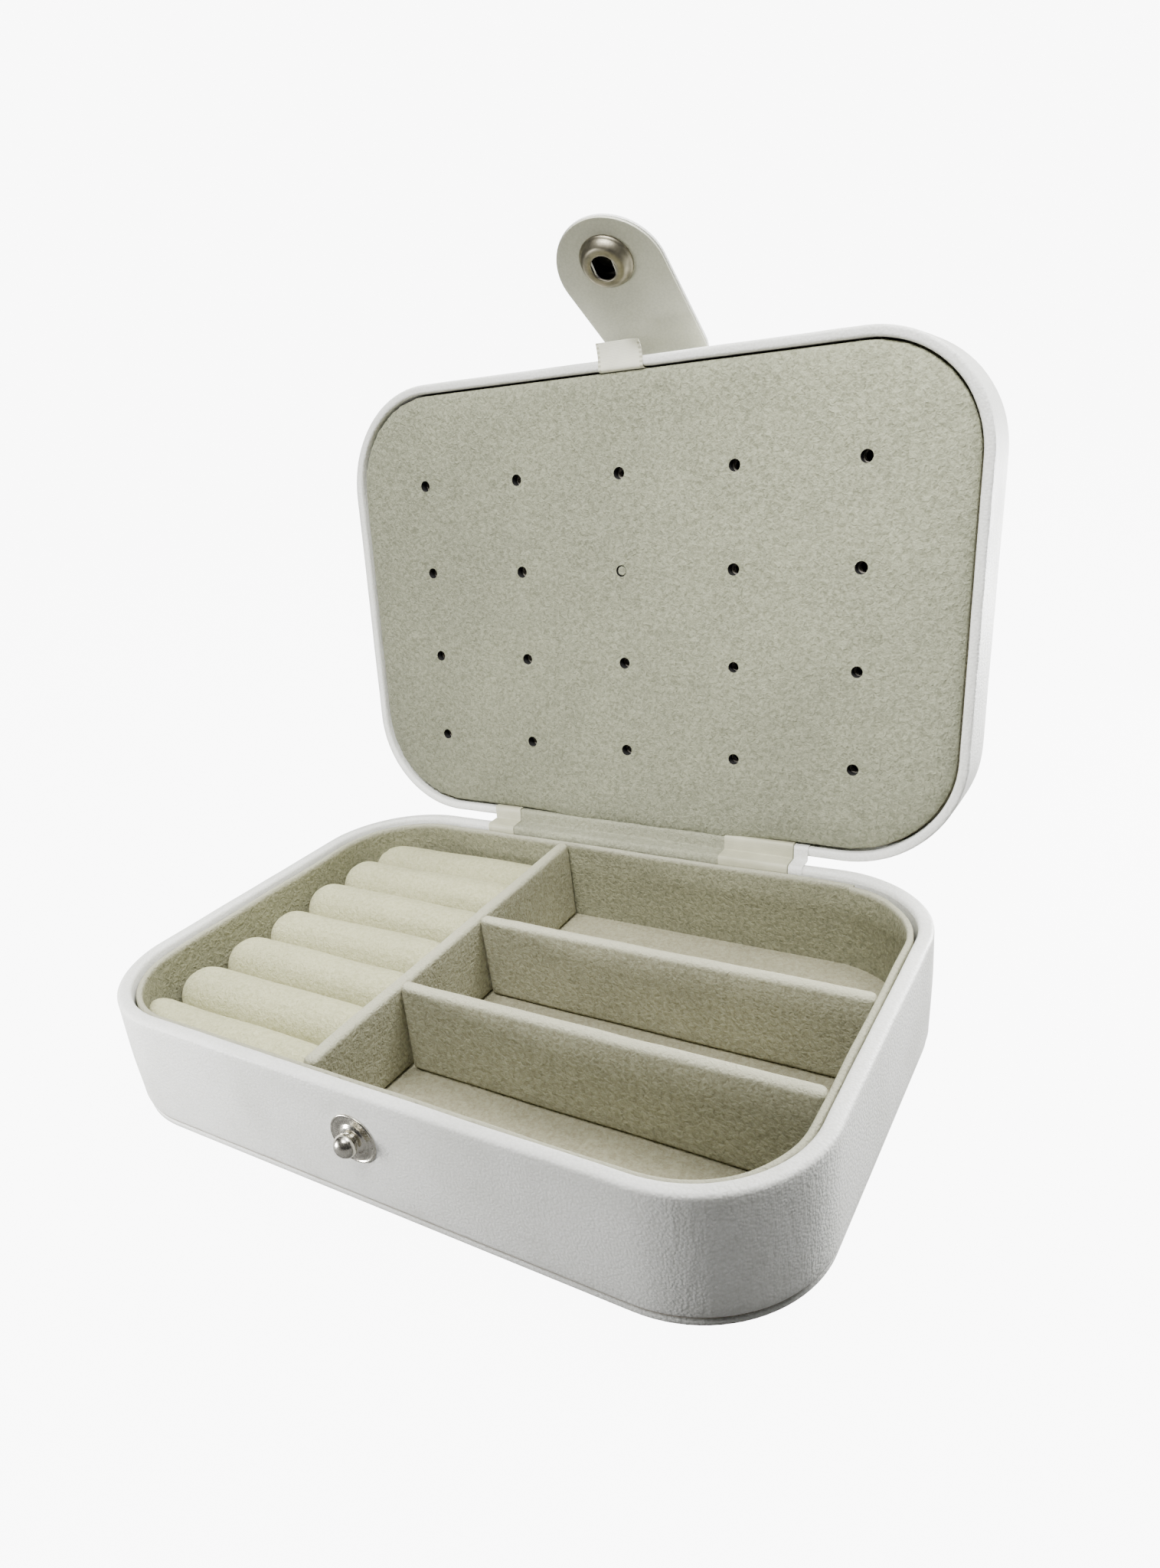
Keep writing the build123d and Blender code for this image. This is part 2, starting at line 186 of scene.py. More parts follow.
# rounded outline walked along a profile of (inset, level) in millimetres, one ring of points for each row
def makeWall(name, profile, start=0.0, size=shell, shift=0.0, hollow=True):
    spread = (size["width"] * mm, size["depth"] * mm, 1)
    plate = addPiece("plane", name, spread, size=1, location=(0, shift * mm, start * mm))
    editOn("VERT")
    pickAll()
    bpy.ops.mesh.bevel(offset=size["corner"] * mm, segments=size["cornerCuts"], affect="VERTICES")
    pickAll()
    bpy.ops.mesh.delete(type="ONLY_FACE")  # only the outline is divided, so that it stays one face
    for axis in (0, 1):
        pickAll("DESELECT")
        editOff()
        run = 0.0
        for edge in plate.data.edges:
            a, b = (plate.data.vertices[i].co for i in edge.vertices)
            along = abs(a[axis] - b[axis])
            edge.select = along > straightFrom and abs(a[1 - axis] - b[1 - axis]) < mm
            run = max(run, along if edge.select else 0)
        editOn("EDGE")
        bpy.ops.mesh.subdivide(number_cuts=max(1, round(run / (size["edgeStep"] * mm)) - 1))
    pickAll()
    bpy.ops.mesh.edge_face_add()
    editOff()
    editOn()
    pickAll()
    ring = len(plate.data.vertices)
    growRings(profile)
    if hollow:
        for face in plate.data.polygons:
            face.select = len(face.vertices) > 4
        dropFaces()
    for index, vertex in enumerate(plate.data.vertices):
        inset, level = profile[index // ring]
        x, y = vertex.co.x / mm, vertex.co.y / mm - shift
        core = coreOf(x, y, size)
        outward = (Vector((x, y, 0)) - core).normalized()
        vertex.co = (core + outward * (size["corner"] - inset) + Vector((0, shift, level))) * mm
    turnOutward()
    return plate


# band of cloth along a list of (y, z) points in millimetres
def bandAlong(name, path, spec):
    low, high = spec["x"]
    rows = len(path) - 1
    band = addPiece("grid", name, size=1, x_subdivisions=spec["cuts"], y_subdivisions=rows)
    for vertex in band.data.vertices:
        y, z = path[round((vertex.co.y + 0.5) * rows)]
        vertex.co = Vector((low + (high - low) * (vertex.co.x + 0.5), y, z)) * mm
    band.data.update()
    modify(band, "SOLIDIFY", thickness=spec["thickness"] * mm, offset=0)
    return band


def arcPoints(center, radius, fromDegrees, toDegrees, count):
    points = []
    for step in range(count + 1):
        angle = math.radians(fromDegrees + (toDegrees - fromDegrees) * step / count)
        points.append((center[0] + radius * math.cos(angle), center[1] + radius * math.sin(angle)))
    return points


# a wave is (height, scale, seed)
def waveOf(point, wave, more=0):
    seed = wave[2] + more
    return wave[0] * noise.noise(Vector(point) * wave[1] + Vector((seed, seed * 1.7, -seed)))


def outwardOf(point):
    return Vector((point.x, point.y, 0)).normalized()


# materials

def startFinish(name):
    finish = bpy.data.materials.new(name)
    finish.use_nodes = True
    tree = finish.node_tree
    return finish, tree, tree.nodes["Principled BSDF"], objectCoords(tree)


# links each value that comes from a node, and sets the others
def feed(node, values):
    for key, value in values.items():
        if hasattr(value, "links"):
            node.id_data.links.new(value, node.inputs[key])
        else:
            node.inputs[key].default_value = value


def addNode(tree, kind, values, **settings):
    node = tree.nodes.new("ShaderNode" + kind)
    for key, value in settings.items():
        setattr(node, key, value)
    feed(node, values)
    return node


def objectCoords(tree, scale=(1, 1, 1)):
    coords = addNode(tree, "TexCoord", {}).outputs["Object"]
    return addNode(tree, "Mapping", {"Vector": coords, "Scale": scale}).outputs["Vector"]


def axesOf(coords):
    return addNode(coords.id_data, "SeparateXYZ", {"Vector": coords}).outputs


def noiseOf(vector, scale, detail=3.0, rough=0.55, twist=0.0):
    values = {"Vector": vector, "Scale": scale, "Detail": detail, "Roughness": rough, "Distortion": twist}
    return addNode(vector.id_data, "TexNoise", values).outputs["Fac"]


def rampOf(factor, low, high, lowAt=0.3, highAt=0.7):
    ramp = addNode(factor.id_data, "ValToRGB", {"Fac": factor})
    for element, color, place in zip(ramp.color_ramp.elements, (low, high), (lowAt, highAt)):
        element.position = place
        element.color = (*color, 1)
    return ramp.outputs["Color"]


def rangeOf(value, fromLow, fromHigh, toLow, toHigh):
    values = {"Value": value, "From Min": fromLow, "From Max": fromHigh, "To Min": toLow, "To Max": toHigh}
    return addNode(value.id_data, "MapRange", values).outputs["Result"]


def mixOf(kind, factor, first, second):
    values = {0: factor, 6: first, 7: second}
    return addNode(first.id_data, "Mix", values, data_type="RGBA", blend_type=kind).outputs[2]


def mathOf(kind, first, second=0.0):
    return addNode(first.id_data, "Math", {0: first, 1: second}, operation=kind).outputs["Value"]


def bumpOf(height, strength, depth, after=None):
    values = {"Height": height, "Strength": strength, "Distance": depth * mm}
    if after is not None:
        values["Normal"] = after
    return addNode(height.id_data, "Bump", values).outputs["Normal"]


leatherLook = {
    "light": (0.84, 0.84, 0.80), "dark": (0.73, 0.73, 0.68), "grain": 1900.0, "grainBump": 0.65,
    "grainDepth": 0.12, "wrinkleBump": 0.8, "wrinkleDepth": 0.3,
}


def makeWhiteLeather(name, look, wrinkled):
    finish, tree, shader, coords = startFinish(name)
    cells = {"Vector": coords, "Scale": look["grain"], "Smoothness": 0.35}
    pebble = addNode(tree, "TexVoronoi", cells, feature="SMOOTH_F1").outputs["Distance"]
    cloud = noiseOf(coords, 55.0)
    fine = noiseOf(coords, 2600.0, 2.0)
    tone = rampOf(cloud, look["dark"], look["light"], 0.22, 0.55)
    # painted shade: the hollows of the grain are a little darker
    grainHollowShade = rampOf(pebble, (1, 1, 1), (0.90, 0.90, 0.885), 0.25, 0.75)
    color = mixOf("MULTIPLY", 1.0, tone, grainHollowShade)
    rough = rangeOf(cloud, 0.3, 0.7, 0.40, 0.56)
    height = mathOf("SUBTRACT", mathOf("MULTIPLY", fine, 0.35), pebble)
    normal = bumpOf(height, look["grainBump"], look["grainDepth"])
    if wrinkled:
        # upright creases that fade in towards the rounded corners
        crease = noiseOf(objectCoords(tree, (850, 850, 150)), 1.0, 2.0, 0.6)
        axes = axesOf(coords)
        side = rangeOf(mathOf("ABSOLUTE", axes["X"]), 0.056, 0.074, 0.0, 1.0)
        end = rangeOf(mathOf("ABSOLUTE", axes["Y"]), 0.030, 0.047, 0.0, 1.0)
        folds = mathOf("MULTIPLY", mathOf("MULTIPLY", side, end), crease)
        normal = bumpOf(folds, look["wrinkleBump"], look["wrinkleDepth"], normal)
    feed(shader, {"Base Color": color, "Roughness": rough, "Specular IOR Level": 0.42, "Normal": normal})
    return finish


velvetLook = {"fine": 2400.0, "nap": 1050.0, "cloud": 34.0, "bump": 1.0, "depth": 0.6, "sheen": 0.2}


def makeVelvet(name, low, high, tint, highlightLevel=None, paintedShade=None):
    look = velvetLook
    finish, _, shader, coords = startFinish(name)
    fibre = noiseOf(coords, look["fine"], 2.0, 0.6)
    nap = noiseOf(coords, look["nap"], 1.5, 0.5, 0.7)
    cloud = noiseOf(coords, look["cloud"], 3.0)
    mixed = mathOf("ADD", mathOf("MULTIPLY", fibre, 0.35), mathOf("MULTIPLY", nap, 0.65))
    tone = rampOf(mixed, low, high, 0.34, 0.66)
    stroke = rampOf(cloud, (0.90, 0.90, 0.90), (1.06, 1.06, 1.05), 0.3, 0.7)
    color = mixOf("MULTIPLY", 1.0, tone, stroke)
    axes = axesOf(coords)
    if paintedShade:
        # painted shade: the velvet is darker to the left and towards the bottom, as the light falls on the panel
        for axis, spread in paintedShade.items():
            shade = rangeOf(axes[axis], *spread)
            color = mixOf("MULTIPLY", 1.0, color, shade)
    if highlightLevel:
        # painted highlight: the upper edge is lighter, where the light from above catches the fibres
        rise = rangeOf(axes["Z"], highlightLevel * mm - 0.0014, highlightLevel * mm - 0.0003, 0.0, 0.75)
        color = mixOf("MIX", rise, color, (*tint, 1))
    normal = bumpOf(mixed, look["bump"], look["depth"])
    feed(shader, {"Base Color": color, "Roughness": 0.95, "Specular IOR Level": 0.12, "Normal": normal})
    feed(shader, {"Sheen Weight": look["sheen"], "Sheen Roughness": 0.38, "Sheen Tint": (*tint, 1)})
    return finish


def makeSatin(name, low, high, selvage=None):
    finish, tree, shader, coords = startFinish(name)
    across = {"wave_type": "BANDS", "bands_direction": "Z"}
    threads = {"Vector": coords, "Scale": 950.0, "Distortion": 0.6}
    weft = addNode(tree, "TexWave", threads, **across).outputs["Fac"]
    cloud = noiseOf(coords, 160.0)
    woven = rampOf(weft, (0.86, 0.86, 0.84), (1, 1, 1))
    color = mixOf("MULTIPLY", 0.6, rampOf(cloud, low, high), woven)
    if selvage:
        # both long edges are woven in small teeth
        off = mathOf("SUBTRACT", axesOf(coords)["X"], sum(selvage) / 2)
        off = mathOf("ABSOLUTE", off)
        half = (selvage[1] - selvage[0]) / 2
        teeth = addNode(tree, "TexWave", {"Vector": coords, "Scale": 330.0}, **across).outputs["Fac"]
        border = rangeOf(off, half - 0.0008, half - 0.0006, 0.0, 1.0)
        border = mathOf("MULTIPLY", border, teeth)
        color = mixOf("MULTIPLY", border, color, (0.58, 0.57, 0.5, 1))
    rough = rangeOf(weft, 0, 1, 0.34, 0.48)
    feed(shader, {"Base Color": color, "Roughness": rough, "Normal": bumpOf(weft, 0.25, 0.05)})
    feed(shader, {"Sheen Weight": 0.25, "Sheen Roughness": 0.3})
    return finish


def makeNickel(name, tone, rough, worn=0.84):
    finish, tree, shader, coords = startFinish(name)
    scratch = noiseOf(objectCoords(tree, (1, 14, 1)), 900.0, 4.0, 0.7)
    blot = noiseOf(coords, 420.0)
    dull = tuple(value * worn for value in tone)
    color = rampOf(blot, dull, tone)
    shine = rangeOf(scratch, 0.3, 0.7, rough, rough + 0.16)
    feed(shader, {"Base Color": color, "Metallic": 1.0, "Roughness": shine})
    feed(shader, {"Normal": bumpOf(scratch, 0.08, 0.02)})
    return finish


def makeBoard(name, low, high):
    finish, _, shader, coords = startFinish(name)
    pulp = noiseOf(coords, 700.0, 5.0, 0.65)
    fleck = noiseOf(coords, 2400.0, 2.0)
    tone = rampOf(pulp, low, high, 0.3, 0.7)
    spots = rampOf(fleck, (0.72, 0.70, 0.66), (1, 1, 1), 0.26, 0.34)
    color = mixOf("MULTIPLY", 1.0, tone, spots)
    feed(shader, {"Base Color": color, "Roughness": 0.9, "Normal": bumpOf(pulp, 0.3, 0.08)})
    return finish


liningLook = {**leatherLook, "light": (0.50, 0.50, 0.40), "dark": (0.435, 0.435, 0.35), "grainBump": 0.10}
# painted shade on the panel velvet: darker to the left and towards the bottom
panelPaintedShade = {"X": (-0.08, 0.08, 0.84, 1.19), "Z": (0.03, 0.14, 0.84, 1.19)}
finishes = {
    "cover": makeWhiteLeather("white pebbled leather", leatherLook, True),
    "strap": makeWhiteLeather("white strap leather", leatherLook, False),
    "strapLining": makeWhiteLeather("smooth strap lining", liningLook, False),
    "panel": makeVelvet("grey panel velvet", (0.168, 0.172, 0.117), (0.302, 0.308, 0.221),
                        (0.6, 0.61, 0.48), paintedShade=panelPaintedShade),
    "floor": makeVelvet("beige floor velvet", (0.272, 0.256, 0.168), (0.388, 0.367, 0.25), (0.7, 0.68, 0.53)),
    # the divider and liner velvets have a painted highlight along their upper edges
    "divider": makeVelvet("divider velvet", (0.235, 0.228, 0.154), (0.378, 0.368, 0.262),
                          (0.47, 0.46, 0.34), highlightLevel=27.0),
    "liner": makeVelvet("liner velvet", (0.168, 0.166, 0.107), (0.292, 0.29, 0.194),
                        (0.42, 0.41, 0.31), highlightLevel=26.6),
    "roll": makeVelvet("cream roll velvet", (0.41, 0.4, 0.233), (0.555, 0.546, 0.342), (0.84, 0.83, 0.59)),
    "hinge": makeVelvet("hinge cloth", (0.235, 0.237, 0.168), (0.335, 0.337, 0.245), (0.6, 0.6, 0.48)),
    "satin": makeSatin("cream satin", (0.78, 0.77, 0.61), (0.90, 0.89, 0.74), (-0.0044, 0.0069)),
    "hingeSatin": makeSatin("aged satin", (0.40, 0.39, 0.27), (0.52, 0.51, 0.37)),
    "nickel": makeNickel("bright nickel", (0.72, 0.69, 0.60), 0.16),
    "agedNickel": makeNickel("aged nickel", (0.30, 0.275, 0.205), 0.34, 0.6),
    "wire": makeNickel("drawn spring wire", (0.62, 0.61, 0.59), 0.26),
    # painted shade: near-black dull metal for the inside of the socket's chamber
    "chamberShade": makeNickel("painted chamber shade", (0.05, 0.047, 0.04), 0.6),
    "board": makeBoard("grey board", (0.34, 0.31, 0.26), (0.46, 0.43, 0.37)),
    # painted shade: near black for the walls inside the panel's holes
    "holeShade": makeBoard("painted hole shade", (0.004, 0.004, 0.0036), (0.009, 0.0086, 0.0078)),
    "paper": makeBoard("backing paper", (0.60, 0.59, 0.54), (0.72, 0.71, 0.66)),
    "foam": makeBoard("thin foam", (0.66, 0.65, 0.60), (0.78, 0.77, 0.72)),
}
cadFinish = {
    "white_leather": "strap", "strap_lining": "strapLining", "grey_board": "board", "grey_velvet": "floor",
    "cream_velvet": "roll", "foam": "foam", "backing_paper": "paper", "satin": "satin",
    "hinge_cloth": "hinge", "nickel": "nickel", "spring_steel": "wire",
}
for row in frame["record"]["subparts"]:
    node = cadNodes[row["node"]]
    node.data.materials.clear()
    node.data.materials.append(finishes[cadFinish[row["material_slot"]]])
print("materials made:", len(finishes))


# base: covered wall, covered bottom plate

baseCover = {
    "wall": [
        (1.8, 2.3), (0.8, 2.32), (0.38, 2.42), (0.14, 2.66), (0.04, 3.1), (0.0, 5.0), (-0.08, 8.0),
        (-0.14, 11.0), (-0.18, 14.0), (-0.18, 17.0), (-0.14, 20.0), (-0.08, 23.0), (-0.02, 25.5),
        (0.0, 27.0), (0.10, 27.44), (0.38, 27.78), (0.80, 27.97), (1.2, 28.0), (1.6, 28.0), (2.0, 28.0),
        (2.4, 27.97), (2.82, 27.78), (3.1, 27.44), (3.2, 27.0), (3.2, 25.5), (3.2, 23.5), (3.2, 21.0),
    ],
    "waves": ((0.10, 55.0, 3.0), (0.05, 190.0, 8.0)), "rimWave": (0.12, 70.0, 5.0),
}
rimEdge = {"from": 0.020, "span": 0.008}


def makeCover(name, spec, body, node, place):
    cover = makeWall(name, spec["wall"], levels["plate"])
    for vertex in cover.data.vertices:
        rim = clamp((vertex.co.z - rimEdge["from"]) / rimEdge["span"])
        push = sum(waveOf(vertex.co, wave) for wave in spec["waves"])
        vertex.co.z += rim * waveOf(vertex.co, spec["rimWave"]) * mm
        vertex.co += outwardOf(vertex.co) * push * mm
    placeIn(cover, place)
    dress(cover, body, "white_leather", "cover", node)


coveredPlate = [
    (1.2, 0.0), (0.8, 0.1), (0.58, 0.35), (0.5, 0.7), (0.5, 1.1), (0.56, 1.4), (0.74, 1.6), (1.1, 1.7),
    (1.9, 1.74),
]


def makePlate(name, body, node, place):
    plate = makeWall(name, coveredPlate, hollow=False)
    placeIn(plate, place)
    dress(plate, body, "white_leather", "cover", node)


makeCover("base_cover", baseCover, "base", "base_wrap", Matrix())
makePlate("bottom_plate", "base", "bottom_cover", Matrix())
print("base shell made")


# velvet lining and dividers

liner = {
    "outside": [(3.8, 5.2), (3.8, 9.6), (3.8, 13.6), (3.8, 17.6), (3.8, 21.6), (3.8, 25.4)],
    "edge": [(3.86, 26.15), (4.06, 26.47), (4.4, 26.6), (4.6, 26.6), (4.94, 26.47), (5.14, 26.15)],
    "inside": [(5.2, level) for level in (25.4, 23.8, 22.2, 20.8, 19.6, 18.4, 17.0, 15.2, 12.6, 9.6, 5.2)],
    "seamX": 61.0, "seamWidth": 0.16, "lap": 9.0, "lapLift": 1.1, "riseFrom": 0.012, "riseSpan": 0.0146,
    "farCorner": (0.072, 0.046), "cornerReach": 0.016, "cornerLean": 0.9, "backFrom": 0.045,
    "creaseLevel": 19.6, "creaseSpread": 2.0, "crease": 0.55, "creaseShare": 0.7,
    "creaseWave": (1.0, 45.0, 24.0), "leanWave": (0.25, 40.0, 21.0), "edgeWave": (0.25, 90.0, 12.0),
}


def makeLiner():
    strip = makeWall("liner_strip", liner["outside"] + liner["edge"] + liner["inside"], levels["floor"])
    editOn()
    for side in (-0.5, 0.5):
        pickAll()
        cut = (liner["seamX"] + side * liner["seamWidth"]) * mm
        bpy.ops.mesh.bisect(plane_co=(cut, 0, 0), plane_no=(1, 0, 0))
    pickAll("DESELECT")
    editOff()
    cornerX, cornerY = liner["farCorner"]
    for vertex in strip.data.vertices:
        rise = max(0.0, (vertex.co.z - liner["riseFrom"]) / liner["riseSpan"])
        inward = -outwardOf(vertex.co)
        lean = waveOf(vertex.co, liner["leanWave"])
        corner = Vector((vertex.co.x - cornerX, vertex.co.y - cornerY, 0)).length
        # the strip comes away from the wall in the far corner
        lean += liner["cornerLean"] * max(0.0, 1 - corner / liner["cornerReach"])
        past = vertex.co.x / mm - liner["seamX"]
        if vertex.co.y > 0 and 0 < past < liner["lap"]:
            lean += liner["lapLift"] * (1 - past / liner["lap"])  # its end laps over its start
        if vertex.co.y > liner["backFrom"]:
            sag = math.exp(-((vertex.co.z / mm - liner["creaseLevel"]) / liner["creaseSpread"]) ** 2)
            share = liner["creaseShare"] + waveOf((vertex.co.x, 0, 0), liner["creaseWave"])
            lean += liner["crease"] * sag * share
        vertex.co += inward * lean * rise * mm
        vertex.co.z += rise * waveOf(vertex.co, liner["edgeWave"]) * mm
    dress(strip, "base", "grey_velvet", "liner", "base_liner")


dividers = {
    "top": 27.0, "edge": 1.35, "foot": 0.5, "gap": 0.2, "step": 2.2, "lastStep": 0.5, "longEdge": 0.02,
    "cutLevels": (8.5, 12.0, 15.5, 19.0, 22.5), "sideWave": (0.14, 60.0, 0.0), "topWave": (0.16, 110.0, 2.0),
    "long": {"low": (-18.15, -52.1), "high": (-14.85, 52.1), "lean": ((1.9, -0.4), (-0.5, 0.2)),
             "node": "long_divider", "seed": 31.0},
    "front": {"low": (-14.2, -24.25), "high": (77.35, -20.95), "lean": ((0.3, 0.0), (0.5, 0.0)),
              "node": "front_cross_divider", "seed": 35.0},
    "rear": {"low": (-14.6, 7.95), "high": (77.35, 11.25), "lean": ((-0.8, 0.1), (-0.6, 0.0)),
             "node": "rear_cross_divider", "seed": 39.0},
}


def makeDivider(name, spec):
    low, high, seed = spec["low"], spec["high"], spec["seed"]
    along = 0 if high[0] - low[0] > high[1] - low[1] else 1
    bottom, top = levels["floor"] + dividers["gap"], dividers["top"]
    middle = ((low[0] + high[0]) / 2 * mm, (low[1] + high[1]) / 2 * mm, (bottom + top) / 2 * mm)
    size = ((high[0] - low[0]) * mm, (high[1] - low[1]) * mm, (top - bottom) * mm)
    card = addPiece("cube", name, size, size=1, location=middle)
    # round the upper edges well and the foot a little
    for level, radius in ((top, dividers["edge"]), (bottom, dividers["foot"])):
        roundEdges(card, level * mm, along, dividers["longEdge"], radius, 5)
    editOn()
    run = high[along] - low[along]
    normal = Vector((1, 0, 0)) if along == 0 else Vector((0, 1, 0))
    cut = low[along] + dividers["step"]
    while cut < high[along] - dividers["lastStep"]:
        pickAll()
        bpy.ops.mesh.bisect(plane_co=normal * cut * mm, plane_no=normal)
        cut += dividers["step"]
    for level in dividers["cutLevels"]:
        pickAll()
        bpy.ops.mesh.bisect(plane_co=(0, 0, level * mm), plane_no=(0, 0, 1))
    editOff()
    # hand-set cards lean a little, differently at their two ends
    for vertex in card.data.vertices:
        part = (vertex.co[along] / mm - low[along]) / run
        rise = (vertex.co.z / mm - bottom) / (top - bottom)
        lean = [spec["lean"][0][i] * (1 - part) + spec["lean"][1][i] * part for i in (0, 1)]
        push = lean[1] + (lean[0] - lean[1]) * rise + waveOf(vertex.co, dividers["sideWave"], seed)
        vertex.co[1 - along] += push * mm
        vertex.co.z += rise * waveOf(vertex.co, dividers["topWave"], seed) * mm
    dress(card, "base", "grey_velvet", "divider", spec["node"])


makeLiner()
for side in ("long", "front", "rear"):
    makeDivider(side + "_card", dividers[side])
print("lining and dividers made")


# padded pieces: a voxel skin with air in it, at ten times the size so that cloth behaves as on a cushion

cushion = {"grow": 10, "frames": 20, "quality": 4}


def swell(piece, spec):
    grow, frames = cushion["grow"], cushion["frames"]
    piece.data.transform(Matrix.Scale(grow, 4))
    modify(piece, "REMESH", mode="VOXEL", voxel_size=spec["voxel"] * grow * mm)
    before = [vertex.co.copy() for vertex in piece.data.vertices]
    cloth = piece.modifiers.new("cloth", "CLOTH")
    cloth.settings.use_pressure = True
    cloth.settings.uniform_pressure_force = spec["pressure"]
    cloth.settings.effector_weights.gravity = 0
    cloth.settings.quality = cushion["quality"]
    cloth.point_cache.frame_start = 1
    cloth.point_cache.frame_end = frames
    for step in range(1, frames + 1):
        bpy.context.scene.frame_set(step)
    applyAll(piece)
    bpy.context.scene.frame_set(1)
    farthest = spec["cap"] * grow * mm
    for vertex, old in zip(piece.data.vertices, before):
        move = vertex.co - old
        if move.length > farthest:
            vertex.co = old + move.normalized() * farthest
    piece.data.transform(Matrix.Scale(1 / grow, 4))


ringRolls = {
    "crests": (21.6, 21.7, 21.9, 21.6, 22.6, 22.8, 21.3), "bay": 52.3, "left": -77.0, "right": -18.6,
    "cornerShort": 1.3, "voxel": 1.3, "pressure": 5.0, "cap": 0.9, "gap": 0.12, "foot": 0.05,
    "slack": 1.0, "blankTop": 22.0, "blankLow": 0.8, "blankLift": 0.2, "flat": 0.05, "longEdge": 0.01,
    "bayCut": [(5.75, 0.0), (5.75, 40.0)], "crestWave": (0.55, 42.0, 50.0), "sideWave": (0.35, 60.0, 90.0),
}
rollPitch = 2 * ringRolls["bay"] / len(ringRolls["crests"])


def makeRollBlank(name, middle, cornered):
    rolls = ringRolls
    width, height = rollPitch - rolls["slack"], rolls["blankTop"] - levels["floor"] - rolls["blankLow"]
    length = rolls["right"] - rolls["left"] - rolls["slack"]
    level = levels["floor"] + rolls["blankLift"] + height / 2
    place = ((rolls["left"] + rolls["right"]) / 2 * mm, middle * mm, level * mm)
    size = (length * mm, width * mm, height * mm)
    blank = addPiece("cube", name, size, size=1, location=place)
    top = max(vertex.co.z for vertex in blank.data.vertices)
    roundEdges(blank, top, 0, rolls["longEdge"], width / 2 - rolls["flat"], 9)
    if cornered:
        cutBy(blank, makeWall("bay_cut", rolls["bayCut"], hollow=False), "INTERSECT")
    return blank


def makeRingRolls():
    rolls = ringRolls
    count = len(rolls["crests"])
    middles = [(number - (count - 1) / 2) * rollPitch for number in range(count)]
    plain = makeRollBlank("roll_plain", 0.0, False)
    swell(plain, rolls)
    made = []
    for number, middle in enumerate(middles):
        name = "roll_pad_" + str(number + 1)
        if number in (0, count - 1):
            pad = makeRollBlank(name, middle, True)
            swell(pad, rolls)
        else:
            pad = bpy.data.objects.new(name, plain.data.copy())
            bpy.context.collection.objects.link(pad)
            pad.data.transform(Matrix.Translation((0, middle * mm, 0)))
        made.append(pad)
    bpy.data.objects.remove(plain)
    for number, (pad, middle) in enumerate(zip(made, middles)):
        low = levels["floor"] + rolls["foot"]
        top = max(vertex.co.z for vertex in pad.data.vertices) / mm
        ends = sorted(vertex.co.x / mm for vertex in pad.data.vertices)
        short = rolls["cornerShort"] if number in (0, count - 1) else 0
        reach = (rolls["right"] - rolls["left"] - short) / (ends[-1] - ends[0])
        for vertex in pad.data.vertices:
            x, y, z = (value / mm for value in vertex.co)
            x = rolls["right"] - (ends[-1] - x) * reach
            rise = (z - low) / (top - low)
            z = low + rise * (rolls["crests"][number] - low)
            z += max(rise, 0) * waveOf(vertex.co, rolls["crestWave"], number * 3)
            y += waveOf(vertex.co, rolls["sideWave"], number * 3) * rise
            side = rollPitch / 2 - rolls["gap"] / 2
            y = middle + clamp(y - middle, -side, side)
            x = clamp(x, rolls["left"], rolls["right"])
            vertex.co = Vector((x, y, max(low, z))) * mm
        modify(pad, "SUBSURF", levels=1, render_levels=1)
        dress(pad, "base", "cream_velvet", "roll", "ring_roll_" + str(number + 1), shade=80)


makeRingRolls()
print("ring rolls made")


# lid: covered wall and top plate, drawn rim up and laid into its open place

lidCover = {
    "wall": [
        (1.7, 1.93), (0.62, 1.95), (0.28, 2.05), (0.1, 2.3), (0.02, 2.8), (0.0, 5.0), (-0.05, 8.0),
        (-0.06, 11.0), (-0.04, 14.0), (0.0, 16.5), (0.0, 18.23), (0.08, 18.63), (0.30, 18.89), (0.66, 19.0),
        (1.1, 19.0), (1.54, 19.0), (1.9, 18.89), (2.12, 18.63), (2.2, 18.2), (2.2, 15.0), (2.2, 11.0),
        (2.2, 7.0), (2.2, 3.2),
    ],
    "waves": ((0.08, 50.0, 63.0), (0.04, 180.0, 66.0)), "rimWave": (0.0, 70.0, 5.0),
}

makeCover("lid_shell", lidCover, "lid", "lid_wrap", lidPlace)
makePlate("lid_plate", "lid", "lid_cover", lidPlace)
print("lid shell made")


# earring panel: padded velvet with punched holes

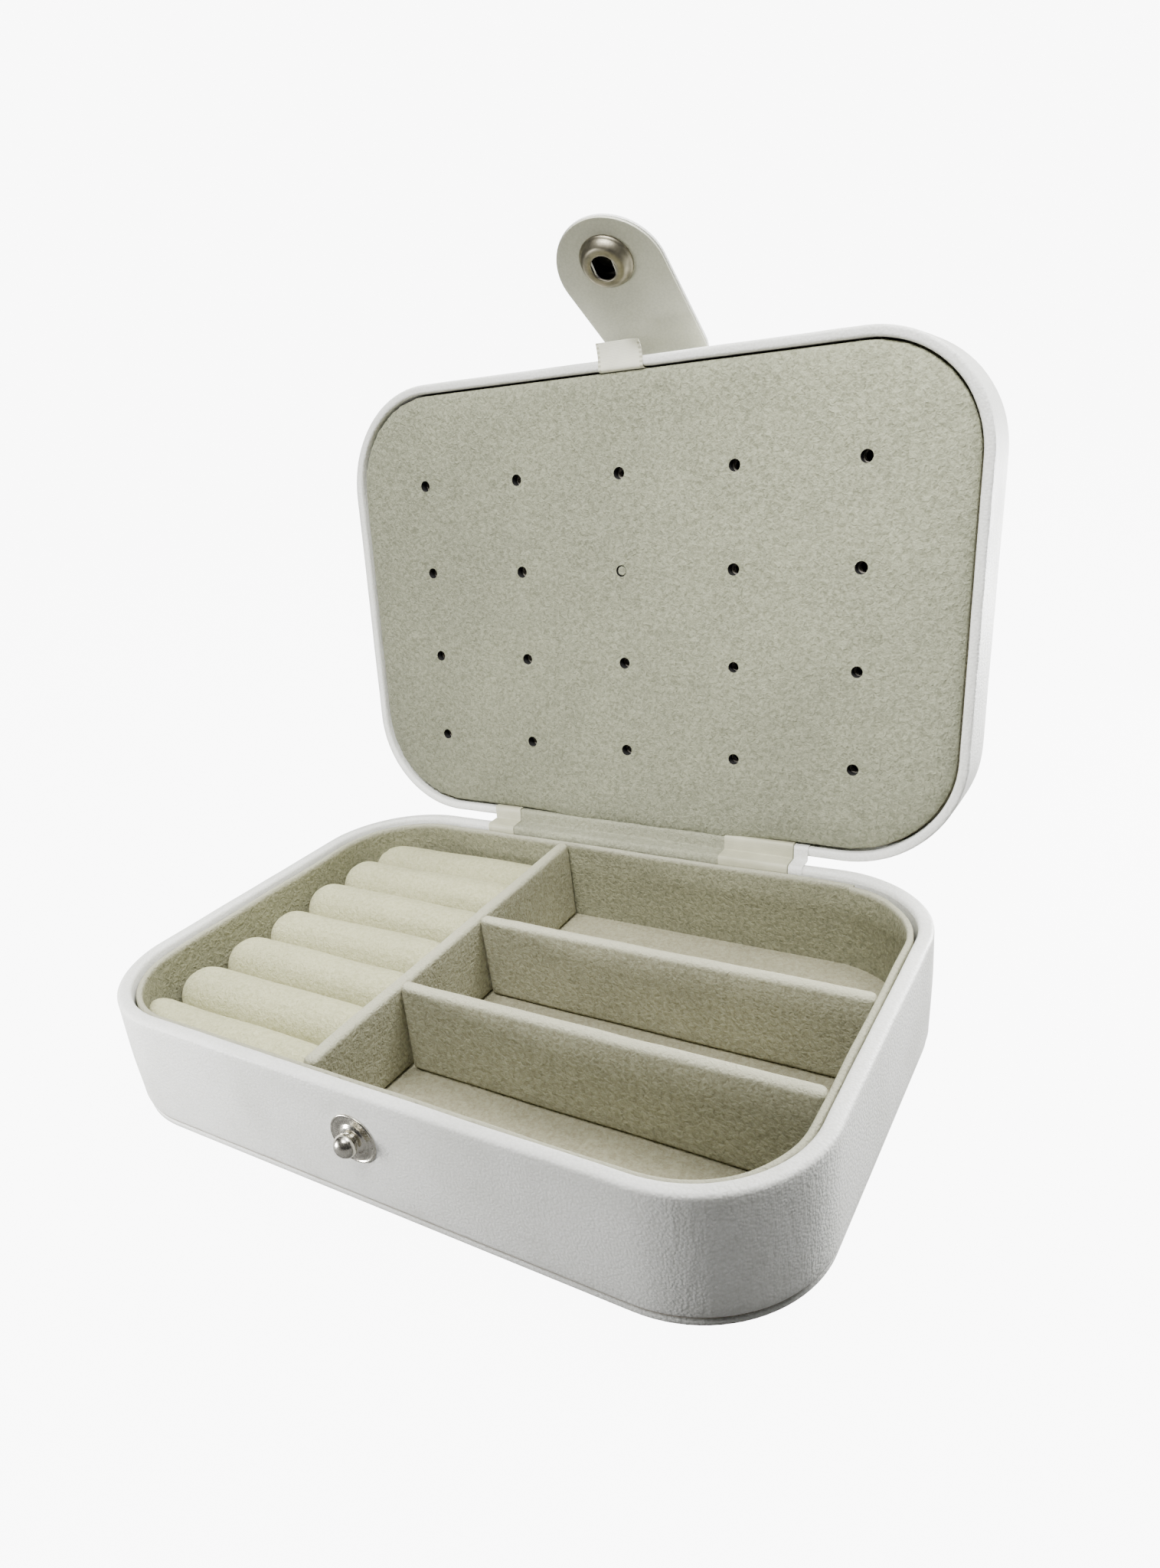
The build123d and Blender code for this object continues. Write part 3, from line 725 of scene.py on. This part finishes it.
earringPanel = {
    "size": {"width": 159.6, "depth": 109.3, "corner": 23.7, "cornerCuts": 16, "edgeStep": 3.0},
    "shift": 0.15, "back": 15.08,
    "edge": [(0.75, 15.08), (0.45, 15.18), (0.35, 15.4), (0.35, 17.5), (0.60, 18.2), (1.0, 18.65),
             (1.6, 18.95)],
    "voxel": 1.35, "pressure": 1.5, "cap": 0.35, "columns": 5, "rows": 4, "pitchX": 28.9, "pitchY": 22.5,
    "holeShift": -1.0, "holeRadius": 1.4, "sizeWave": (0.16, 0.37, 4.0), "placeWave": (0.3, 0.21, 6.0),
    "pucker": 0.32, "puckerReach": 3.4, "wallReach": 1.3, "wallTilt": 0.4, "punchLevel": 17,
    "square": {"from": 1.8, "out": 0.36, "taper": 0.45, "lift": 0.3, "above": 2.0},
    "faceAbove": 2.4, "waves": ((0.16, 30.0, 71.0), (0.10, 95.0, 75.0)),
    "slack": {"from": -49.5, "span": 4, "middle": 4, "half": 36, "wave": (1.0, 230.0, 77.0),
              "slant": (0.5, 0.7, 0.8), "lift": 0.25, "foldLift": 0.6, "out": 0.9, "foldOut": 1.4},
    "disc": {"hole": 12, "radius": 1.14, "height": 1.6, "level": 18.1, "edge": 0.25,
             "wave": (0.18, 0.21, 6.0)},
}


def panelHoles():
    spec = earringPanel
    xs = [(column - (spec["columns"] - 1) / 2) * spec["pitchX"] for column in range(spec["columns"])]
    ys = [(row - (spec["rows"] - 1) / 2) * spec["pitchY"] + spec["holeShift"] for row in range(spec["rows"])]
    return [(x, y) for y in ys for x in xs]


def holeDistance(x, y):
    return min(math.hypot(x - hole[0], y - hole[1]) for hole in panelHoles())


def makeEarringPanel():
    spec = earringPanel
    pad = makeWall("earring_pad", spec["edge"], spec["back"], spec["size"], spec["shift"], hollow=False)
    swell(pad, spec)
    square, slackness = spec["square"], spec["slack"]
    radius, shift, back = spec["size"]["corner"], spec["shift"], spec["back"]
    for vertex in pad.data.vertices:
        x, y, z = (value / mm for value in vertex.co)
        z = max(z, back)
        # the wrapped edge is square and fills its place in the lid
        inner = coreOf(x, y - shift, spec["size"])
        outward = Vector((x, y - shift, 0)) - inner
        inside = radius - outward.length
        if inside < square["from"]:
            fill = 1 - max(0.0, inside) / square["from"]
            outward = outward.normalized() * (radius + square["out"] - square["taper"] * max(0.0, inside))
            x, y = inner.x + outward.x, inner.y + outward.y + shift
            z += square["lift"] * fill if z > back + square["above"] else 0.0
        if z > back + spec["faceAbove"]:
            z += sum(waveOf(vertex.co, wave) for wave in spec["waves"])
            near = holeDistance(x, y)
            z -= spec["pucker"] * max(0.0, 1 - near / spec["puckerReach"]) ** 2
            # loose velvet along the hinge side, in shallow slanting folds
            slack = clamp((slackness["from"] - y) / slackness["span"])
            slack *= max(0.0, 1 - (abs(x - slackness["middle"]) / slackness["half"]) ** 4)
            a, b, c = slackness["slant"]
            slant = (vertex.co.x * a + vertex.co.y * b, vertex.co.y * c, 0)
            fold = waveOf(slant, slackness["wave"])
            z += slack * (slackness["lift"] + slackness["foldLift"] * fold)
            y -= slack * max(0.0, slackness["out"] + slackness["foldOut"] * fold)
        vertex.co = Vector((x, y, z)) * mm
    modify(pad, "SUBSURF", levels=1, render_levels=1)
    punches = []
    for x, y in panelHoles():
        # hand-punched: each hole is a little off in place and size
        wide = spec["holeRadius"] * (1 + waveOf((x, y, 0), spec["sizeWave"])) * mm
        x += waveOf((x, y, 0), spec["placeWave"])
        place = (x * mm, y * mm, spec["punchLevel"] * mm)
        rod = {"vertices": 20, "radius": wide, "depth": punchDepth, "location": place}
        punches.append(addPiece("cylinder", "punch", **rod))
    for punch in punches:
        punch.select_set(True)
    bpy.ops.object.join()
    cutBy(pad, bpy.context.object)
    walls = []
    for face in pad.data.polygons:
        x, y = face.center.x / mm, face.center.y / mm
        near = holeDistance(x, y)
        walls.append(near < spec["holeRadius"] * spec["wallReach"] and abs(face.normal.z) < spec["wallTilt"])
    placeIn(pad, lidPlace)
    dress(pad, "earring_panel", "grey_velvet", "panel", "panel_velvet", "panel_foam", shade=70)
    pad.data.materials.append(finishes["holeShade"])  # painted shade: the walls inside the holes are coloured near black, as the shadow in them
    for face, wall in zip(pad.data.polygons, walls):
        face.material_index = 1 if wall else 0


# one hole was cut but its disc of velvet is still in place
def makeDisc():
    spec = earringPanel["disc"]
    x, y = panelHoles()[spec["hole"]]
    x += waveOf((x, y, 0), spec["wave"])  # goes most of the way with its hole
    place = (x * mm, y * mm, spec["level"] * mm)
    rod = {"vertices": 24, "radius": spec["radius"] * mm, "depth": spec["height"] * mm, "location": place}
    disc = addPiece("cylinder", "velvet_disc", (1, 1, 1), **rod)
    modify(disc, "BEVEL", width=spec["edge"] * mm, segments=3)
    placeIn(disc, lidPlace)
    dress(disc, "earring_panel", "grey_velvet", "panel")


makeEarringPanel()
makeDisc()
print("earring panel made")


# hinge: cloth strip and two satin ribbons, each over the base rim, round the fold and up behind the panel

satinRibbon = {"radius": 0.155, "thickness": 0.15, "baseY": 53.82, "lidY": 54.72, "cuts": 16}
hingeCloth = {
    "strip": {"x": (-42.3, 44.6), "radius": 0.4, "thickness": 0.3, "baseY": 54.1, "lidY": 55.1, "cuts": 60},
    "end": {"x": (43.6, 48.0), "radius": 0.43, "thickness": 0.24, "baseY": 54.15, "lidY": 55.15, "cuts": 6},
    "left": {**satinRibbon, "x": (-42.6, -34.3)}, "right": {**satinRibbon, "x": (26.8, 44.4)},
    "basePath": ((0, -9.8), (0, -6.0), (0, -2.5), (0, -1.2), (0.1, -0.5), (0.45, -0.06), (0.9, 0), (1.6, 0),
                 (2.4, 0), (3.2, 0)),
    "lidSteps": (0, 0.7, 1.4, 2.1), "lidPath": ((0.35, 0), (0.05, 0.2), (0, 0.8), (0, 3.6)),
    "wave": (0.10, 170.0, 83.0), "ribbonWave": (0.10, 260.0, 81.0), "waveRun": 0.6,
    "foldStart": (0, 0.0578, 0.0281), "foldEnd": (0, 0.0587, 0.0289), "lift": (0, -0.6, 0.8),
}


def restOf(point):
    place = openLid @ (Vector((0, point[0], point[1])) * mm)
    return place.y / mm, place.z / mm


def hingeHalves(spec):
    y, z = hingePoint.y / mm, hingePoint.z / mm
    low, high = z - spec["radius"], z + spec["radius"]
    base = [(spec["baseY"] + out, low + up) for out, up in hingeCloth["basePath"]]
    base += arcPoints((y, z), spec["radius"], -90, 90 - math.degrees(openAngle), 8)
    lid = [(y - step, high) for step in hingeCloth["lidSteps"]]
    lid += [(spec["lidY"] + out, high + up) for out, up in hingeCloth["lidPath"]]
    return base, [restOf(point) for point in lid]


def wholeBand(name, spec):
    base, lid = hingeHalves(spec)
    return bandAlong(name, base + lid[1:], spec)


def ruffle(piece, wave):
    run = hingeCloth["waveRun"]
    for vertex in piece.data.vertices:
        push = waveOf((vertex.co.x, vertex.co.y * run, vertex.co.z * run), wave)
        vertex.co += Vector(hingeCloth["lift"]) * push * mm
    piece.data.update()


def makeHinge():
    spec = hingeCloth["strip"]
    base, lid = hingeHalves(spec)
    strip = bandAlong("hinge_strip_cloth", base, spec)
    upper = bandAlong("hinge_strip_upper", lid, spec)
    tab = wholeBand("hinge_white_end", hingeCloth["end"])
    for side in ("left", "right"):
        ribbon = wholeBand("satin_ribbon_" + side, hingeCloth[side])
        ruffle(ribbon, hingeCloth["ribbonWave"])
        dress(ribbon, None, "satin", "hingeSatin", "hinge_ribbon_" + side)
        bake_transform(ribbon)
    for piece in (strip, upper, tab):
        ruffle(piece, hingeCloth["wave"])
    dress(strip, None, "hinge_cloth", "hinge", "hinge_strip")
    dress(upper, "lid", "hinge_cloth", "hinge")
    dress(tab, None, "white_leather", "strap")
    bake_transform(strip)
    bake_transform(tab)


makeHinge()
print("hinge made")


# pull ribbon over the lid rim, its free end lifting

pullRibbon = {
    "x": (-4.4, 6.9), "thickness": 0.22, "cuts": 24, "freeFrom": 57.4, "freeSpan": 3.5,
    "wave": (0.12, 320.0, 87.0), "calm": 0.25, "curl": 1.1, "curlFrom": 0.62, "curlGain": 2.2,
    "drawn": 0.45, "drawnFrom": 0.7, "drawnGain": 3,
    "path": [(54.95, 14.75), (54.95, 16.8), (54.97, 18.3), (55.08, 18.85), (55.4, 19.14), (56.0, 19.17),
             (56.8, 19.17), (57.4, 19.2), (58.0, 19.27), (58.6, 19.37), (59.2, 19.5), (59.8, 19.66),
             (60.4, 19.85), (61.0, 20.06)],
}


def makePullRibbon():
    spec = pullRibbon
    tab = bandAlong("pull_tab", spec["path"], spec)
    for vertex in tab.data.vertices:
        x, y, z = (value / mm for value in vertex.co)
        free = max(0.0, (y - spec["freeFrom"]) / spec["freeSpan"])
        across = (x - spec["x"][0]) / (spec["x"][1] - spec["x"][0])
        # one corner turns up
        z += free ** 2 * spec["curl"] * max(0.0, across - spec["curlFrom"]) * spec["curlGain"]
        y -= free ** 2 * spec["drawn"] * max(0.0, across - spec["drawnFrom"]) * spec["drawnGain"]
        z += waveOf(vertex.co, spec["wave"]) * max(free, spec["calm"])
        vertex.co = Vector((x, y, z)) * mm
    placeIn(tab, lidPlace)
    dress(tab, "earring_panel", "satin", "satin", "pull_ribbon")


makePullRibbon()
print("pull ribbon made")


# closing strap: two layers along one bent line, with a round tip

closingStrap = {
    "rootX": 3.8, "root": 12.1, "tip": 13.3, "tipRise": 3.2, "tab": 8.5, "bend": 46.0, "bendRadius": 4.25,
    "toSocket": 24.25, "hole": 3.25, "edge": 0.14, "cuts": 20, "areaShare": 0.92,
    "tabRows": 5, "bendRows": 8, "sideRows": 18, "tipRows": 18,
    "leather": {"offset": 0.3, "thickness": 0.58, "inset": 0.0},
    "lining": {"offset": -0.3, "thickness": 0.56, "inset": 0.2},
}
strapArc = math.radians(closingStrap["bend"]) * closingStrap["bendRadius"]
strapReach = closingStrap["toSocket"] - closingStrap["tipRise"]


# how far along the strap each row of points lies; the bend starts at 0
def strapRows():
    spec = closingStrap
    tab, bend, side, tip = (spec[key + "Rows"] for key in ("tab", "bend", "side", "tip"))
    rows = [-spec["tab"] + spec["tab"] * step / tab for step in range(tab)]
    rows += [strapArc * step / bend for step in range(bend)]
    rows += [strapArc + strapReach * step / side for step in range(side)]
    turns = [math.radians(90) * step / tip for step in range(tip + 1)]
    return rows + [strapArc + strapReach + spec["tip"] * math.sin(turn) for turn in turns]


# straight from the root's corner until it meets the round tip
def strapEdge(run, side):
    spec = closingStrap
    corner = spec["rootX"] + side * spec["root"]
    away = math.hypot(corner, strapReach)
    swing = math.atan2(-strapReach, corner) + side * math.acos(spec["tip"] / away)
    touch = strapReach + spec["tip"] * math.sin(swing)
    if run <= touch:
        return corner + (spec["tip"] * math.cos(swing) - corner) * max(0.0, run) / touch
    return side * math.sqrt(max(0.02, spec["tip"] ** 2 - (run - strapReach) ** 2))


def makeStrapLayer(name, layer):
    spec = closingStrap
    rows = strapRows()
    last = len(rows) - 1
    piece = addPiece("grid", name, size=1, x_subdivisions=spec["cuts"], y_subdivisions=last)
    for vertex in piece.data.vertices:
        run = rows[round((vertex.co.y + 0.5) * last)]
        left = strapEdge(run - strapArc, -1) + layer["inset"]
        right = strapEdge(run - strapArc, 1) - layer["inset"]
        x = left + (right - left) * (vertex.co.x + 0.5)
        radius = spec["bendRadius"] + layer["offset"]
        angle = math.radians(90) + clamp(run, 0.0, strapArc) / spec["bendRadius"]
        y = strapPoint.y / mm + radius * math.cos(angle)
        z = strapPoint.z / mm + radius * math.sin(angle)
        straight = run if run < 0 else max(0.0, run - strapArc)
        y += -math.sin(angle) * straight
        z += math.cos(angle) * straight
        vertex.co = Vector((x, y, z)) * mm
    piece.data.update()
    modify(piece, "SOLIDIFY", thickness=layer["thickness"] * mm, offset=0)
    corner = {"limit_method": "ANGLE", "angle_limit": math.radians(50)}
    modify(piece, "BEVEL", width=spec["edge"] * mm, segments=2, **corner)
    placeIn(piece, openLid)
    punch = addPiece("cylinder", "punch", vertices=48, radius=spec["hole"] * mm, depth=punchDepth)
    placeIn(punch, strapPlace @ snapPlace)
    cutBy(piece, punch)
    return piece


def makeStrap():
    spec = closingStrap
    leather = makeStrapLayer("strap_outside", spec["leather"])
    lining = makeStrapLayer("strap_inside", spec["lining"])
    dress(leather, None, "white_leather", "strap", "strap_leather", "strap_fold", "strap_root", shade=50)
    dress(lining, None, "strap_lining", "strapLining", "strap_lining", shade=50)
    for piece, layer in ((leather, spec["leather"]), (lining, spec["lining"])):
        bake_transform(piece)


makeStrap()
print("strap made")


# snap fastener: turned pieces, by rings of (radius, height) in millimetres, some with a ridge

snapParts = {
    "stud": [
        (5.38, 0.0), (5.4, 0.28), (5.32, 0.44), (5.15, 0.5), (4.98, 0.44), (4.9, 0.32), (4.8, 0.25, 0.06),
        (4.3, 0.22, 0.16), (3.7, 0.22, 0.16), (3.3, 0.27, 0.05), (3.15, 0.34), (2.95, 0.5), (2.75, 0.68),
        (2.45, 0.79), (2.0, 0.82), (1.68, 0.84), (1.6, 0.93), (1.6, 1.2), (1.66, 1.27), (1.92, 1.36),
        (2.18, 1.57), (2.36, 1.88), (2.42, 2.28), (2.36, 2.76), (2.17, 3.24), (1.86, 3.68), (1.43, 4.06),
        (0.96, 4.3), (0.5, 4.42), (0.05, 4.45),
    ],
    "socket": [
        (6.2, 0.0), (6.3, 0.18), (6.3, 0.42), (6.18, 0.66), (6.0, 0.82), (5.86, 0.98, 0.03),
        (5.68, 1.3, 0.08), (5.42, 1.7, 0.08), (5.16, 2.04, 0.03), (4.92, 2.3), (4.6, 2.48), (4.2, 2.56),
        (3.7, 2.6), (3.3, 2.58), (3.06, 2.5), (2.95, 2.34), (2.97, 2.2), (3.9, 2.14), (4.0, 1.8),
        (4.0, 0.4), (3.7, 0.2), (2.75, 0.2), (2.75, -1.3), (0.05, -1.3),
    ],
    "cap": [
        (3.2, -1.15), (3.2, 0.0), (5.9, 0.0), (6.0, 0.16), (5.97, 0.4), (5.6, 0.68), (4.8, 1.02),
        (3.7, 1.32), (2.4, 1.52), (1.1, 1.59), (0.05, 1.6),
    ],
    "count": 96, "darkFrom": 16, "ridgeOut": {"socket_ring": 0.5}, "capLift": 1.2,
}


def turnPiece(name, profile):
    count = snapParts["count"]
    piece = addPiece("circle", name, vertices=count, radius=mm, fill_type="NGON")
    editOn()
    pickAll()
    growRings(profile)
    # the face that the turning began with would close the hollow back
    for face in piece.data.polygons:
        face.select = len(face.vertices) > 4 and max(face.vertices) < count
    dropFaces()
    for index, vertex in enumerate(piece.data.vertices):
        radius, height, ridge = (*profile[index // count], 0)[:3]
        angle = math.atan2(vertex.co.y, vertex.co.x)
        lift = ridge if round(angle / math.radians(360 / count)) % 2 else 0.0
        out = radius + lift * snapParts["ridgeOut"].get(name, 0.0)
        vertex.co = Vector((out * math.cos(angle), out * math.sin(angle), height + lift)) * mm
    turnOutward()
    return piece


def makeSnap():
    stud = turnPiece("ball_stud", snapParts["stud"])
    placeIn(stud, snapPlace)
    flip = Matrix.Translation((0, 0, levels["strapFace"] * mm)) @ Matrix.Rotation(math.pi, 4, "X")
    socket = turnPiece("socket_ring", snapParts["socket"])
    placeIn(socket, strapPlace @ snapPlace @ flip)
    cap = turnPiece("snap_cap_dome", snapParts["cap"])
    lift = Matrix.Translation((0, 0, (levels["strapFace"] + snapParts["capLift"]) * mm))
    placeIn(cap, strapPlace @ snapPlace @ lift)
    rows = ((stud, "base", "snap_stud"), (socket, "strap", "snap_socket"), (cap, "strap", "snap_cap"))
    for piece, body, node in rows:
        dress(piece, body, "nickel", "agedNickel" if piece == socket else "nickel", node, shade=50)
    # painted shade: the chamber behind the mouth is dull metal coloured near black, as the shadow in it
    socket.data.materials.append(finishes["chamberShade"])
    for face in socket.data.polygons:
        rings = [index // snapParts["count"] for index in face.vertices]
        face.material_index = 1 if min(rings) >= snapParts["darkFrom"] else 0


makeSnap()
print("snap fastener made")


# room: pale floor, soft lights, camera at the photograph's place

room = {
    "radius": 3.0, "sweep": 0.4, "height": 3.0, "floor": (0.14, 0.14, 0.14), "glow": 9.0,
    "bend": 0.6, "bendCuts": 10, "world": (1.0, 1.0, 1.0), "worldPower": 0.11,
    "lights": {
        "top_rear": {"at": (0.30, 0.35, 1.0), "aim": (0.0, 0.0, 0.05), "size": 0.6, "power": 27.0},
        "top_soft": {"at": (-0.03, -0.13, 1.05), "aim": (0.0, 0.02, 0.05), "size": 0.8, "power": 4.5},
        "front_right": {"at": (0.35, -0.50, 0.75), "aim": (0.0, 0.05, 0.08), "size": 0.4, "power": 7.2},
        "front_soft": {"at": (0.05, -0.55, 0.85), "aim": (0.0, 0.05, 0.08), "size": 0.4, "power": 15.2},
        "left_low": {"at": (-0.22, -0.20, 0.03), "aim": (-0.06, -0.0575, 0.01),
                    "size": 0.08, "spread": 70, "power": 0.29},
        "right_low": {"at": (0.24, 0.36, 0.06), "aim": (0.0825, 0.03, 0.015),
                    "size": 0.12, "spread": 90, "power": 1.05},
    },
    "flag": {"back": 0.012, "drop": 0.05, "width": 0.64, "height": 0.32},
    "cameraAt": (0.118874, -0.160751, 0.139997),
    "right": (0.843, 0.525, -0.114), "down": (0.128, -0.402, -0.907), "forward": (-0.522, 0.750, -0.406),
    "lens": 23.411, "shift": (0.0343, 0.0380), "sensor": 36.0, "clip": 0.005,
}


def makeRoom():
    floor = addPiece("circle", "floor", vertices=96, radius=room["radius"], fill_type="NGON")
    editOn()
    pickAll()
    bpy.ops.mesh.inset(thickness=room["sweep"], depth=0)
    editOff()
    for vertex in floor.data.vertices:
        away = vertex.co.length - (room["radius"] - room["sweep"])
        vertex.co.z = max(0.0, away / room["sweep"]) * room["height"]
    modify(floor, "BEVEL", width=room["bend"], segments=room["bendCuts"], limit_method="ANGLE")
    softShade(floor)
    finish, tree, shader, coords = startFinish("pale floor")
    shade = noiseOf(coords, 3.0)
    color = rampOf(shade, tuple(value * 0.98 for value in room["floor"]), room["floor"])
    # the floor reads as white paper in the picture and throws no extra light on the box
    seen = addNode(tree, "LightPath", {}).outputs["Is Camera Ray"]
    glow = mathOf("MULTIPLY", seen, room["glow"])
    feed(shader, {"Base Color": color, "Roughness": 0.85, "Emission Strength": glow})
    feed(shader, {"Emission Color": (1, 1, 1, 1)})
    floor.data.materials.append(finish)
    world = bpy.data.worlds.new("studio")
    bpy.context.scene.world = world
    world.use_nodes = True
    sky = world.node_tree.nodes["Background"]
    feed(sky, {"Color": (*room["world"], 1), "Strength": room["worldPower"]})
    for name, light in room["lights"].items():
        bpy.ops.object.light_add(type="AREA", location=light["at"])
        lamp = bpy.context.object
        lamp.name = name
        lamp.data.size = light["size"]
        lamp.data.energy = light["power"]
        lamp.data.spread = math.radians(light.get("spread", 180))
        lamp.visible_camera = False
        lamp.rotation_euler = (Vector(light["aim"]) - Vector(light["at"])).to_track_quat("-Z", "Y").to_euler()
    bpy.ops.object.camera_add(location=room["cameraAt"])
    camera = bpy.context.object
    right, down, forward = (Vector(room[key]).normalized() for key in ("right", "down", "forward"))
    turn = Matrix((right, -down, -forward)).transposed()
    camera.rotation_euler = turn.to_euler()
    camera.data.sensor_width = room["sensor"]
    camera.data.lens = room["lens"]
    camera.data.shift_x, camera.data.shift_y = room["shift"]
    camera.data.clip_start = room["clip"]
    bpy.context.scene.camera = camera
    # dark card behind the camera, which shades the near corner
    spread = (room["flag"]["width"], room["flag"]["height"], 1)
    flag = addPiece("plane", "dark_card", spread, size=1)
    behind = Vector(room["cameraAt"]) - forward * room["flag"]["back"] + down * room["flag"]["drop"]
    placeIn(flag, Matrix.Translation(behind) @ turn.to_4x4())
    dark, tree, shader, coords = startFinish("dark card")
    shade = rampOf(noiseOf(coords, 40.0), (0.02, 0.02, 0.02), (0.03, 0.03, 0.03))
    feed(shader, {"Base Color": shade, "Roughness": 0.9})
    # it shades the box but is never seen itself
    seen = addNode(tree, "LightPath", {}).outputs["Is Camera Ray"]
    clear = addNode(tree, "BsdfTransparent", {}).outputs["BSDF"]
    both = addNode(tree, "MixShader", {0: seen, 1: shader.outputs["BSDF"], 2: clear})
    feed(tree.nodes["Material Output"], {"Surface": both.outputs["Shader"]})
    flag.data.materials.append(dark)


makeRoom()
print("room made")
